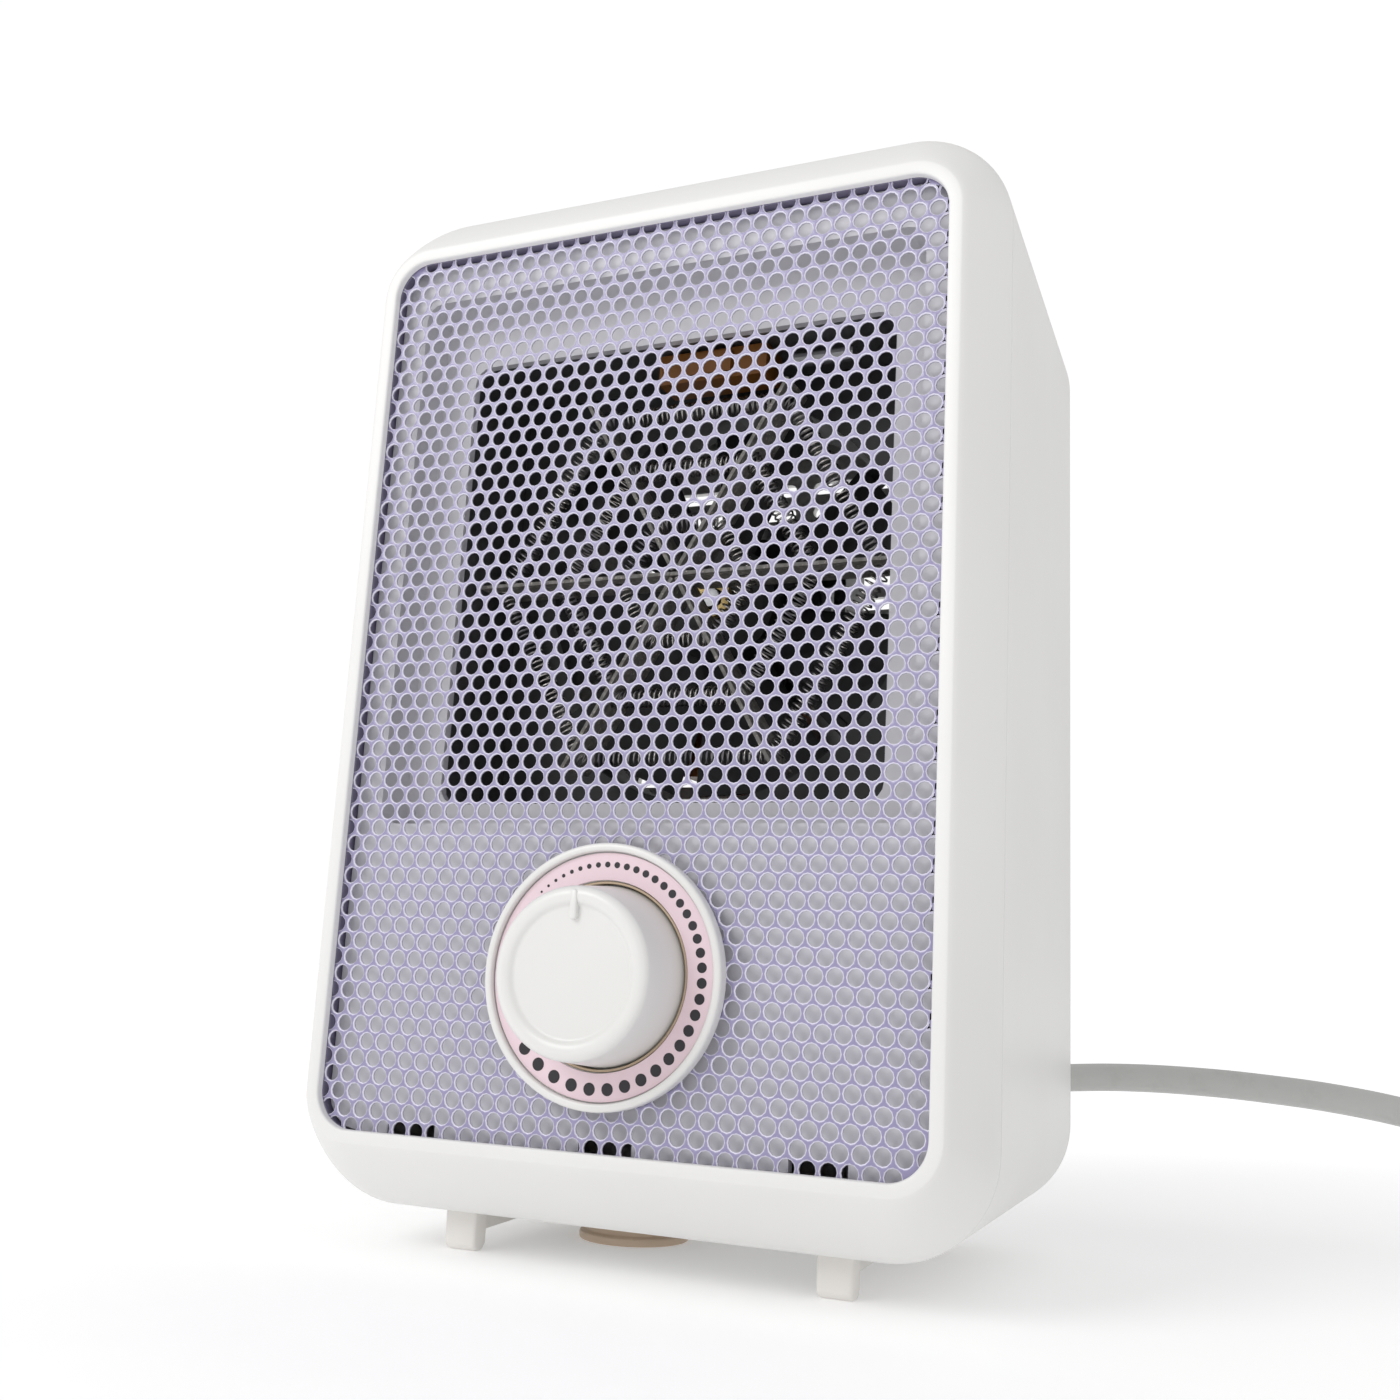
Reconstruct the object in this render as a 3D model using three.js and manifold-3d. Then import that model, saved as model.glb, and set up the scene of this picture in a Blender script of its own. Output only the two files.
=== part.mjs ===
// Compact fan heater: perforated front, open-coil mica element, axial fan, thermostat dial, tip-over switch.
// Millimetres, +Z up. The front faces -Y. The origin is on the floor, under the middle of the casing and knob.
// Pieces of the front, duct, heater, fan and thermostat are laid out in a face frame that leans back a little:
// its origin is the centre of the perforated sheet, its +Y runs into the casing and its +Z up the sheet.
import * as THREE from "three";
import { mergeVertices } from "three/addons/utils/BufferGeometryUtils.js";
import Module from "manifold-3d";

const wasm = await Module();
wasm.setup();

// ---- driving dimensions ----
const lean = THREE.MathUtils.degToRad(1.6); // front face leans back from the vertical
const faceY = -42.27; // face frame origin, in the part's frame
const faceZ = 119.4;
const footHeight = 9; // underside of the casing above the floor
const gap = 0.3; // clearance between touching pieces
const wall = 2.2; // casing wall

const rim = { half: 68.8, top: 103.7, bottom: -97.3, radius: 11, y: -2 };
const mouth = { half: 65.8, top: 100.7, bottom: -94.3, radius: 8 };
const seam = { half: 75, top: 116.5, bottom: -110, radius: 21, y: 14 };
const rear = { half: 71, top: 112.3, radius: 20, y: 102 };
const rearEdge = 3; // rounding of the rear edge

const sheet = { half: 67.6, top: 102.4, bottom: -96, radius: 9, thick: 1, flange: 4 };
const panel = { half: 66.2, top: 101, bottom: -94.6, radius: 7.6, y: 3.1, thick: 2 }; // inside the sheet's flange
const notch = { half: 5.8, deep: 2.5, stations: [-45.1, 0, 43.9] }; // for snap hooks, in the panel's lower edge
const nutWell = { radius: 12, wall: 2, floor: 5 }; // dished spot of the panel round the thermostat's bushing
const well = { half: 60, top: 92, bottom: -30, radius: 4, floor: 12.5 };
const outlet = { half: 51.4, top: 79, bottom: -24.5, radius: 4 };
const blower = { x: 0, z: (outlet.top + outlet.bottom) / 2 }; // common axis of heater, fan and motor
const dial = { x: -0.5, z: -60.6, outer: 26, lip: 24.3, cup: 18.5, face: -2.2 };

const heaterY = { front: 19, back: 31 };
const ringApothems = [13.5, 26.5, 40]; // centre to flat of the six-sided element rings
const wireRadius = 2.3; // radius of the coiled element wire's helix
const fan = { front: 42, back: 56, hub: 14, tip: 46, blades: 7, rest: 23 }; // rest: turn of the first blade, degrees
const pad = { x: -19, y: 12, radius: 12.5 }; // sprung tip-over pad under the base
const footX = 42; // middle of each foot
const pegYs = [-23, 42]; // pegs of each foot, up into the base
const cordDiameter = 7.2;
const cordExit = { x: 46, z: 35 };

// ---- materials ----
const paint = (color, roughness, metalness = 0) =>
  new THREE.MeshStandardMaterial({ color, roughness, metalness });
const shellWhite = paint(0xe8e7e4, 0.42);
const panelGrey = paint(0xc9c7c9, 0.5);
const lilacCoat = paint(0xc8bee4, 0.38, 0.1);
const knobWhite = paint(0xf0efec, 0.3);
const dialPink = paint(0xebd6dc, 0.45);
const footCream = paint(0xdcd8cf, 0.5);
const padBeige = paint(0xcfc2ac, 0.5);
const cordGrey = paint(0xb6b8b4, 0.5);
const micaGrey = paint(0x5b5750, 0.6);
const resistance = paint(0x8c8880, 0.35, 0.9);
const zincSteel = paint(0xa9acae, 0.4, 0.9);
const phenolic = paint(0x6b4022, 0.45);
const fanBlack = paint(0x2b2c2f, 0.5);
const copper = paint(0xa85a2c, 0.35, 0.8);
const brass = paint(0xb79a54, 0.35, 0.9);
const wireRed = paint(0xa8342a, 0.5);
const wireWhite = paint(0xd9d7d0, 0.5);

// ---- geometry helpers ----

// Turns a closed geometry so that its faces point out, keeping positions only.
function outward(geometry) {
  geometry.deleteAttribute("normal");
  geometry.deleteAttribute("uv");
  const merged = mergeVertices(geometry, 1e-4);
  const at = merged.attributes.position;
  const index = merged.index.array;
  const [a, b, c] = [new THREE.Vector3(), new THREE.Vector3(), new THREE.Vector3()];
  let volume = 0;
  for (let i = 0; i < index.length; i += 3) {
    a.fromBufferAttribute(at, index[i]);
    b.fromBufferAttribute(at, index[i + 1]);
    c.fromBufferAttribute(at, index[i + 2]);
    volume += a.dot(b.cross(c));
  }
  if (volume < 0) {
    for (let i = 0; i < index.length; i += 3) {
      [index[i + 1], index[i + 2]] = [index[i + 2], index[i + 1]];
    }
  }
  return merged;
}

// A closed geometry as a manifold solid, and back.
function solidOf(geometry) {
  const closed = outward(geometry);
  const vertProperties = new Float32Array(closed.attributes.position.array);
  const triVerts = new Uint32Array(closed.index.array);
  return new wasm.Manifold(new wasm.Mesh({ numProp: 3, vertProperties, triVerts }));
}

function geometryOf(solid) {
  const mesh = solid.getMesh();
  const points = new Float32Array(mesh.numVert * 3);
  for (let i = 0; i < mesh.numVert; i++) {
    points.set(mesh.vertProperties.subarray(i * mesh.numProp, i * mesh.numProp + 3), i * 3);
  }
  const geometry = new THREE.BufferGeometry();
  geometry.setAttribute("position", new THREE.BufferAttribute(points, 3));
  geometry.setIndex(new THREE.BufferAttribute(mesh.triVerts, 1));
  return geometry;
}

const join = (first, ...others) =>
  geometryOf(others.reduce((sum, g) => sum.add(solidOf(g)), solidOf(first)));
const cut = (first, ...others) =>
  geometryOf(others.reduce((sum, g) => sum.subtract(solidOf(g)), solidOf(first)));

// Outline of a rounded rectangle in the XZ plane at depth y.
function ring({ half, top, bottom, radius, y }, steps = 6) {
  const points = [];
  const corners = [
    [half - radius, top - radius],
    [-half + radius, top - radius],
    [-half + radius, bottom + radius],
    [half - radius, bottom + radius],
  ];
  corners.forEach(([x, z], quarter) => {
    for (let i = 0; i <= steps; i++) {
      const angle = ((quarter + i / steps) * Math.PI) / 2;
      points.push(new THREE.Vector3(x + radius * Math.cos(angle), y, z + radius * Math.sin(angle)));
    }
  });
  return points;
}

// Skin through rings of equal length: either capped at both ends or closed on itself.
function loft(rings, loops = false) {
  const count = rings[0].length;
  const points = rings.flat();
  const index = [];
  const spans = loops ? rings.length : rings.length - 1;
  for (let s = 0; s < spans; s++) {
    const here = s * count;
    const next = ((s + 1) % rings.length) * count;
    for (let i = 0; i < count; i++) {
      const j = (i + 1) % count;
      index.push(here + i, next + i, next + j, here + i, next + j, here + j);
    }
  }
  if (!loops) {
    const last = (rings.length - 1) * count;
    for (let i = 1; i < count - 1; i++) {
      index.push(0, i, i + 1);
      index.push(last, last + i + 1, last + i);
    }
  }
  const geometry = new THREE.BufferGeometry().setFromPoints(points);
  geometry.setIndex(index);
  return outward(geometry);
}

// Straight rounded-rectangle prism from depth y0 to y1.
const prism = (shape, y0, y1, steps = 4) =>
  loft([ring({ ...shape, y: y0 }, steps), ring({ ...shape, y: y1 }, steps)]);

function box(x0, x1, y0, y1, z0, z1) {
  const geometry = new THREE.BoxGeometry(x1 - x0, y1 - y0, z1 - z0);
  return geometry.translate((x0 + x1) / 2, (y0 + y1) / 2, (z0 + z1) / 2);
}

// Solid of revolution about a line along Y through (x, z). The profile is [radius, y] pairs.
function turned(profile, x = 0, z = 0, segments = 32) {
  const points = profile.map(([r, y]) => new THREE.Vector2(r, y));
  return outward(new THREE.LatheGeometry(points, segments)).translate(x, 0, z);
}

// The same about a vertical line. The profile is [radius, z] pairs.
function upright(profile, x, y, segments = 32) {
  const geometry = turned(profile, 0, 0, segments).rotateX(Math.PI / 2);
  return geometry.translate(x, y, 0);
}

// A rod along Y from y0 to y1, and a pipe round the same line.
const rod = (r, y0, y1, x, z, segments = 16) =>
  turned([[0, y0], [r, y0], [r, y1], [0, y1]], x, z, segments);
const pipe = (inner, outer, y0, y1, x, z, segments = 24) =>
  turned([[inner, y0], [outer, y0], [outer, y1], [inner, y1], [inner, y0]], x, z, segments);
const post = (r, z0, z1, x, y, segments = 16) =>
  upright([[0, z0], [r, z0], [r, z1], [0, z1]], x, y, segments);

// A round bar along a smooth curve through the points.
function bar(points, radius, sides, steps) {
  const section = new THREE.Shape();
  for (let i = 0; i < sides; i++) {
    const angle = (i / sides) * 2 * Math.PI;
    section[i ? "lineTo" : "moveTo"](radius * Math.cos(angle), radius * Math.sin(angle));
  }
  section.closePath();
  const extrudePath = new THREE.CatmullRomCurve3(points, false, "centripetal");
  return outward(new THREE.ExtrudeGeometry(section, { steps, extrudePath, bevelEnabled: false }));
}

// Height of the casing's level underside at depth y, in the face frame.
const baseLine = (y, above = 0) =>
  (footHeight + above - faceZ + y * Math.sin(lean)) / Math.cos(lean);

const face = new THREE.Group(); // leans back by the lean angle
face.position.set(0, faceY, faceZ);
face.rotation.x = -lean;
const heater = new THREE.Group();
heater.add(face);

function add(parent, name, geometry, material) {
  const mesh = new THREE.Mesh(geometry, material);
  mesh.name = name;
  parent.add(mesh);
}

// ---- casing ----

function frontFrame() {
  const bulge = (t, y) => ({
    half: rim.half + (seam.half - rim.half) * t,
    top: rim.top + (seam.top - rim.top) * t,
    bottom: rim.bottom + (seam.bottom - rim.bottom) * t,
    radius: rim.radius + (seam.radius - rim.radius) * t,
    y,
  });
  const inset = (shape, by, y) => ({
    half: shape.half - by,
    top: shape.top - by,
    bottom: shape.bottom + by,
    radius: shape.radius - by,
    y,
  });
  const pocket = { half: 68.2, top: 103, bottom: -96.6, radius: 9.4 }; // seat of the perforated sheet
  const rings = [
    { ...mouth, y: rim.y },
    rim,
    bulge(0.36, 1.8),
    bulge(0.68, 6),
    bulge(0.9, 10),
    seam,
    inset(seam, wall, seam.y),
    inset(bulge(0.72, 0), wall, 8.5),
    { ...pocket, y: 4.2 },
    { ...pocket, y: -gap },
    { ...mouth, y: -gap },
  ];
  return loft(rings.map((r) => ring(r)), true);
}

// Outline of the rear casing at a share of its depth, shrunk by a wall thickness.
function casingRing(share, by, y) {
  return ring({
    half: seam.half + (rear.half - seam.half) * share - by,
    top: seam.top + (rear.top - seam.top) * share - by,
    bottom: baseLine(y, by),
    radius: seam.radius + (rear.radius - seam.radius) * share - by,
    y,
  });
}

// Points of a ring moved so that the rear plane stands upright although the face frame leans.
const plumb = (points) => points.map((p) => p.clone().setY(p.y - p.z * Math.tan(lean)));

const screwSpots = [
  [-57, 95.6],
  [57, 95.6],
  [-58, -84],
  [58, -84],
];

function grilleSlots() {
  const slots = [];
  const slot = { length: 44, height: 3.4, pitch: 6.6, rows: 15 };
  for (let row = 0; row < slot.rows; row++) {
    const z = blower.z + (row - (slot.rows - 1) / 2) * slot.pitch;
    for (const side of [-1, 1]) {
      const x = side * (slot.length / 2 + 2.5);
      const shape = { half: slot.length / 2, top: slot.height / 2, bottom: -slot.height / 2, radius: 1.5 };
      slots.push(prism(shape, 92, 110, 1).translate(x, 0, z));
    }
  }
  return slots;
}

function rearCasing() {
  const front = seam.y + gap;
  const outer = loft([
    casingRing(0, 0, front),
    plumb(casingRing(1 - rearEdge / (rear.y - seam.y), 0, rear.y - rearEdge)),
    plumb(casingRing(1, rearEdge * 0.3, rear.y - rearEdge * 0.3)),
    plumb(casingRing(1, rearEdge, rear.y)),
  ]);
  const inner = loft([casingRing(0, wall, front - 5), plumb(casingRing(1, wall + 0.4, rear.y - wall))]);
  const tubes = screwSpots.map(([x, z]) => rod(4.8, 26, rear.y - 1.5 - z * Math.tan(lean), x, z));
  const wells = screwSpots.map(([x, z]) => rod(3.3, 28.7, rear.y + 10, x, z));
  const bores = screwSpots.map(([x, z]) => rod(1.8, 20, 40, x, z, 12));
  const shell = join(cut(outer, inner), ...tubes);
  const toFace = (geometry) => {
    const inverse = new THREE.Matrix4().makeRotationX(-lean).setPosition(0, faceY, faceZ).invert();
    return geometry.applyMatrix4(inverse);
  };
  const cordHole = toFace(rod(5.2, 50, 70, cordExit.x, cordExit.z, 20));
  const padHole = toFace(post(5.2, 4, 20, pad.x, pad.y, 20));
  const pegHoles = [-1, 1].flatMap((side) =>
    pegYs.map((y) => toFace(post(2.8, 4, 20, side * footX, y, 12))),
  );
  return cut(shell, ...wells, ...bores, cordHole, padHole, ...pegHoles, ...grilleSlots());
}

// One foot: a front post, a rear post and a low web between them, with two pegs up into the base.
function foot(side) {
  const halfWidth = 3.75;
  const x = side * footX;
  const top = footHeight - gap;
  const side2d = new THREE.Shape();
  side2d.moveTo(-25.5, top);
  side2d.lineTo(-25.5, 1.2);
  side2d.lineTo(-24.3, 0);
  side2d.lineTo(-21.7, 0);
  side2d.lineTo(-20.5, 1.2);
  side2d.lineTo(-20.5, top);
  side2d.closePath();
  const block = (shape, depth) => {
    const geometry = new THREE.ExtrudeGeometry(shape, { depth, bevelEnabled: false, steps: 1 });
    // the shape's x runs along Y, its y along Z and the extrusion along X
    geometry.applyMatrix4(new THREE.Matrix4().set(0, 0, 1, 0, 1, 0, 0, 0, 0, 1, 0, 0, 0, 0, 0, 1));
    return outward(geometry).translate(x - depth / 2, 0, 0);
  };
  const web = new THREE.Shape();
  web.moveTo(-22, top);
  web.lineTo(-22, 3.3);
  web.lineTo(41, 5.8);
  web.lineTo(41, top);
  web.closePath();
  const front = block(side2d, 2 * halfWidth);
  const back = front.clone().translate(0, 64.5, 0);
  const pegs = pegYs.map((y) => post(2.4, top - 2, footHeight + 5, x, y, 12));
  return join(front, back, block(web, 2.4), ...pegs);
}

// ---- perforated sheet, inner panel, dial ----

function meshPanel() {
  const tray = prism(sheet, 0, sheet.flange, 6);
  const inner = { half: 66.6, top: 101.4, bottom: -95, radius: 8 };
  return cut(tray, prism(inner, sheet.thick, 10, 6), rod(22.4, -5, 10, dial.x, dial.z, 32));
}

function ductPanel() {
  const y0 = panel.y;
  const y1 = panel.y + panel.thick;
  const tray = { half: well.half + 2, top: well.top + 2, bottom: well.bottom - 2, radius: 6 };
  const bosses = screwSpots.map(([x, z]) => rod(3.8, y0 + 0.5, 25.7, x, z));
  const bores = screwSpots.map(([x, z]) => rod(1.7, 11, 30, x, z, 12));
  const dish = rod(nutWell.radius + nutWell.wall, y0 + 0.5, nutWell.floor + nutWell.wall, dial.x, dial.z, 32);
  const solid = join(prism(panel, y0, y1), prism(tray, y0 + 0.5, well.floor + 2), dish, ...bosses);
  const notches = notch.stations.map((x) =>
    box(x - notch.half, x + notch.half, 0, 10, panel.bottom - 1, panel.bottom + notch.deep),
  );
  return cut(
    solid,
    prism(well, 0, well.floor),
    prism(outlet, 0, 30),
    rod(nutWell.radius, 0, nutWell.floor, dial.x, dial.z, 32),
    rod(5.3, 0, 20, dial.x, dial.z, 24),
    ...bores,
    ...notches,
  );
}

function dialRing() {
  const profile = [
    [dial.cup, 2.7],
    [20.9, 2.7],
    [20.9, -gap],
    [dial.outer, -gap],
    [dial.outer, -2.7],
    [dial.outer - 0.5, -3.3],
    [dial.lip + 0.5, -3.3],
    [dial.lip, -2.8],
    [dial.lip, dial.face + 0.6],
    [dial.cup, dial.face + 0.6],
  ];
  const cup = turned([...profile, profile[0]], dial.x, dial.z, 36);
  const floor = pipe(6.2, dial.cup + 0.8, 1.3, 2.7, dial.x, dial.z, 36);
  return join(cup, floor);
}

const dialDisc = () =>
  pipe(dial.cup + 0.2, dial.lip - gap, dial.face, dial.face + gap, dial.x, dial.z, 36);

function dialKnob() {
  const shell = turned(
    [
      [0, -14.4],
      [12.4, -14.6],
      [13.6, -15.1],
      [15.2, -15.3],
      [16.1, -14.8],
      [16.5, -13.9],
      [17.7, 0.6],
      [16.1, 0.6],
      [14.9, -12.4],
      [5.6, -12.4],
      [5.6, 0.2],
      [3.3, 0.2],
      [3.3, -10.5],
      [0, -10.5],
    ],
    dial.x,
    dial.z,
    36,
  );
  const pointer = box(dial.x - 0.8, dial.x + 0.8, -15.3, -13.8, dial.z + 9.8, dial.z + 15.2);
  return join(shell, pointer);
}

function thermostatBody() {
  const { x, z } = dial;
  const body = box(x - 15, x + 15, 9, 25, z - 13, z + 13);
  const bushing = rod(4.8, 3.2, 10, x, z, 24);
  return cut(join(body, bushing), rod(3.3, 0, 16, x, z, 24));
}

const thermostatNut = () => pipe(5.9, 8.6, 3.1, 4.7, dial.x, dial.z, 6);
const thermostatShaft = () => rod(3, -10.2, 15.5, dial.x, dial.z, 20);

// ---- heating element ----

function heaterDuct() {
  const outer = { half: 52.4, top: 79.9, bottom: -25.4, radius: 4.6 };
  const inner = { half: 51.5, top: 79, bottom: -24.5, radius: 3.8 };
  return cut(prism(outer, well.floor + 2 + gap, 38), prism(inner, 0, 50));
}

const heaterMid = (heaterY.front + heaterY.back) / 2;

// A six-sided ring of coiled wire, drawn as a plain bar of the helix's outer size.
function elementRing(apothem, radius) {
  const mean = apothem / Math.cos(Math.PI / 6);
  const profile = [];
  for (let i = 0; i < 8; i++) {
    const angle = (-i / 8) * 2 * Math.PI;
    profile.push([mean + radius * Math.cos(angle), heaterMid + radius * Math.sin(angle)]);
  }
  const geometry = turned([...profile, profile[0]], 0, 0, 6).rotateY(Math.PI / 6);
  return geometry.translate(blower.x, 0, blower.z);
}

// One of three mica boards that cross at the middle, each keeping its own third of the depth there,
// with clearance holes where the element rings pass through.
function micaBoard(degrees, third) {
  const halfThick = 0.4;
  const reach = 49.5;
  const depth = (heaterY.back - heaterY.front) / 3;
  const keepFrom = heaterY.front + third * depth + gap / 2;
  const keepTo = keepFrom + depth - gap;
  const slots = [
    box(-1.1, 1.1, 0, keepFrom, -5, 5),
    box(-1.1, 1.1, keepTo, 60, -5, 5),
  ];
  const board = cut(box(-reach, reach, heaterY.front, heaterY.back, -halfThick, halfThick), ...slots);
  board.rotateY(-THREE.MathUtils.degToRad(degrees));
  board.translate(blower.x, 0, blower.z);
  return cut(board, ...ringApothems.map((apothem) => elementRing(apothem, wireRadius + 0.5)));
}

const thermalCutout = () =>
  join(box(-6, 20, 18, 27, 71.4, 78.4), box(2, 12, 16.6, 18.5, 72.4, 77.4));
const thermalFuse = () => rod(1.6, -7, 7, 0, 0, 12).rotateZ(Math.PI / 2).translate(32, 22, 75);

// ---- fan and motor ----

function fanShroud() {
  const { x, z } = blower;
  const plate = { half: 54, top: 54, bottom: -54, radius: 5 };
  const back = cut(prism(plate, 38.3, 40).translate(x, 0, z), rod(48, 30, 50, x, z, 40));
  const collar = pipe(47.8, 49.6, 38.6, 60, x, z, 40);
  const arms = [0, 1].map((k) =>
    box(-49, 49, 58, 60, -2.5, 2.5)
      .rotateY(Math.PI / 4 + (k * Math.PI) / 2)
      .translate(x, 0, z),
  );
  const seat = rod(20, 58, 60, x, z, 24);
  return cut(join(back, collar, ...arms, seat), rod(7.2, 50, 70, x, z, 24));
}

function fanImpeller() {
  const { x, z } = blower;
  const hub = turned(
    [
      [2.5, fan.front],
      [fan.hub - 2, fan.front],
      [fan.hub, fan.front + 2],
      [fan.hub, fan.back],
      [2.5, fan.back],
      [2.5, fan.front],
    ],
    x,
    z,
    28,
  );
  const blades = [];
  for (let b = 0; b < fan.blades; b++) {
    const sections = [];
    for (let s = 0; s <= 4; s++) {
      const share = s / 4;
      const radius = fan.hub - 1.5 + (fan.tip - fan.hub + 1.5) * share;
      const chord = 13 + 20 * share;
      const pitch = THREE.MathUtils.degToRad(38 - 17 * share);
      const middle = (fan.front + fan.back) / 2;
      // a point of the section, wrapped round the axis so that the tip follows the collar
      const along = (side, thick) => {
        const forward = (side * chord * Math.sin(pitch)) / 2 + thick * Math.cos(pitch);
        const turn = ((side * chord * Math.cos(pitch)) / 2 - thick * Math.sin(pitch)) / radius;
        return new THREE.Vector3(radius * Math.cos(turn), middle + forward, radius * Math.sin(turn));
      };
      const front = [-1, 0, 1].map((side) => along(side, -0.6));
      const back = [1, 0, -1].map((side) => along(side, 0.6));
      sections.push([...front, ...back]);
    }
    const turn = THREE.MathUtils.degToRad(fan.rest + (b * 360) / fan.blades);
    blades.push(loft(sections).rotateY(turn).translate(x, 0, z));
  }
  return join(hub, ...blades);
}

const fanNut = () => pipe(2.9, 4.9, 39.6, fan.front - gap, blower.x, blower.z, 6);
const motorShaft = () => rod(2.2, 38.8, 93, blower.x, blower.z, 16);
const motorRotor = () => pipe(2.5, 11.6, 67, 82, blower.x, blower.z, 24);

function motorStator() {
  const { x, z } = blower;
  const stack = box(x - 23, x + 23, 67.5, 81.5, z - 20, z + 26);
  const core = box(x - 23, x + 23, 67.5, 81.5, z - 34, z - 27);
  const legs = [-1, 1].map((s) => box(x + s * 19.5 - 3.5, x + s * 19.5 + 3.5, 67.5, 81.5, z - 30, z - 18));
  return cut(join(stack, core, ...legs), rod(12.1, 60, 90, x, z, 24));
}

function motorWinding() {
  const { x, z } = blower;
  const reel = box(x - 15.2, x + 15.2, 62.5, 86.5, z - 38, z - 23.2);
  return cut(reel, box(x - 30, x + 30, 67.2, 81.8, z - 34.3, z - 26.7));
}

function motorBracket(y0, y1, noseY0, noseY1) {
  const { x, z } = blower;
  const strap = box(x - 22, x + 22, y0, y1, z - 7, z + 7);
  const nose = rod(6.4, Math.min(y0, noseY0), Math.max(y1, noseY1), x, z, 20);
  return cut(join(strap, nose), rod(2.5, 50, 100, x, z, 16));
}

// ---- tip-over switch ----

function tipPlunger() {
  const { x, y, radius } = pad;
  return upright(
    [
      [0, 0],
      [radius - 0.6, 0],
      [radius, 0.5],
      [radius, 1.2],
      [radius - 0.7, 1.7],
      [10.6, 1.9],
      [10.6, 4.4],
      [4.6, 4.9],
      [4.6, 12],
      [3, 12],
      [3, 27],
      [0, 27],
    ],
    x,
    y,
    32,
  );
}

const tipGuide = () =>
  upright([[6.4, 11.8], [8.6, 11.8], [8.6, 24], [3.4, 24], [3.4, 22], [6.4, 22], [6.4, 11.8]], pad.x, pad.y, 24);

// The plunger's coil spring, between the guide's roof and the plunger's shoulder.
function tipSpring() {
  const points = [];
  const turns = 4;
  const radius = 4.6;
  for (let i = 0; i <= turns * 8; i++) {
    const angle = (i / 8) * 2 * Math.PI;
    const z = 12.9 + (i / (turns * 8)) * 8.2;
    points.push(new THREE.Vector3(radius * Math.cos(angle), radius * Math.sin(angle), z));
  }
  return bar(points, 0.45, 6, turns * 10).translate(pad.x, pad.y, 0);
}

const tipSwitch = () => box(pad.x - 10, pad.x + 10, pad.y - 5, pad.y + 5, 29.2, 40);
const switchButton = () => box(pad.x - 2, pad.x + 2, pad.y - 1.5, pad.y + 1.5, 27.4, 28.9);

// ---- wiring and cord ----

const terminalBlock = () => box(22, 50, 26, 36, 12.5, 24);
const cordClamp = () =>
  cut(box(39, 52.5, 42, 50, 26, 48), rod(cordDiameter / 2 + gap, 30, 60, cordExit.x, cordExit.z, 16));

const v = (x, y, z) => new THREE.Vector3(x, y, z);

// Where the free cord runs: straight out of the gland, round to the right, and down to the coil.
const route = [
  v(46, 82.1, 35),
  v(46.2, 90, 35.1),
  v(49.4, 99.4, 35.5),
  v(56.2, 107, 36.2),
  v(65.2, 111.5, 37.1),
  v(77, 113, 38),
  v(94, 113, 38.5),
  v(111, 112.9, 38.2),
  v(128, 112.7, 37.2),
  v(144, 112.5, 35),
  v(160, 112.3, 31),
  v(175, 112.1, 25.6),
  v(189, 111.9, 19.6),
  v(202, 111.8, 14.6),
  v(215, 111.8, 12),
];
const coil = { x: 215, y: 65, inner: 28.8, outer: 50.4, base: 1.1, top: 15.6 };
const tail = [v(261.8, 65, 4.8), v(261.8, 55, 4.9), v(261.8, 44, 6.6), v(261.8, 36, 8), v(261.8, 31, 8)];
const plug = { x: 261.8, neck: 30.3, back: 12, front: -14, z: 8 };

function coilRing(grow) {
  const { inner, outer, base, top } = coil;
  const c = 2.4; // the turns' round shoulders
  const profile = [
    [inner - grow, base + c],
    [inner + c, base - grow],
    [outer - c, base - grow],
    [outer + grow, base + c],
    [outer + grow, top - c],
    [outer - c, top + grow],
    [inner + c, top + grow],
    [inner - grow, top - c],
  ];
  return upright([...profile, profile[0]], coil.x, coil.y, 40);
}

const cordTube = (points, steps) =>
  cut(bar(points, cordDiameter / 2, 8, steps), coilRing(gap));
const cordLead = () => rod(cordDiameter / 2, 36.3, 51.7, cordExit.x, cordExit.z, 12);

// The strap round one side of the coil.
function cordTie() {
  const span = { half: 12.4, top: coil.top + 1.1, bottom: coil.base - 1.1, radius: 2 };
  const hole = { half: 11.4, top: coil.top + 0.4, bottom: coil.base - 0.4, radius: 1.4 };
  const strap = cut(prism(span, -4.5, 4.5, 3), prism(hole, -10, 10, 3));
  const middle = (coil.inner + coil.outer) / 2;
  const turn = THREE.MathUtils.degToRad(215);
  return strap.translate(middle, 0, 0).rotateZ(turn).translate(coil.x, coil.y, 0);
}

// Moulded gland in the rear wall, tapering along the cord.
function strainRelief() {
  const profile = [
    [0, 52],
    [4.9, 52],
    [4.9, 59.8],
    [7.8, 59.8],
    [7.8, 62],
    [6.4, 63],
  ];
  for (let i = 0; i < 4; i++) {
    const y = 64 + i * 4;
    const r = 6.3 - i * 0.4;
    profile.push([r, y], [r, y + 2], [r - 1, y + 2.5], [r - 1, y + 3.5]);
  }
  profile.push([4.6, 80.4], [4.2, 81.8], [0, 81.8]);
  return turned(profile, cordExit.x, cordExit.z, 16);
}

function plugBody() {
  const at = (y, half, height) => ({
    half,
    top: plug.z + height,
    bottom: plug.z - height,
    radius: Math.min(half, height) * 0.8,
    y,
  });
  const rings = [
    at(plug.neck, 4.6, 4.6),
    at(plug.back + 4, 5.6, 5.4),
    at(plug.back, 9.5, 7),
    at(plug.back - 5, 12, 7.8),
    at(plug.front + 5, 12, 7.8),
    at(plug.front + 1, 13, 7.9),
    at(plug.front, 12.4, 7.4),
  ];
  return loft(rings.map((r) => ring(r, 4))).translate(plug.x, 0, 0);
}

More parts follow.
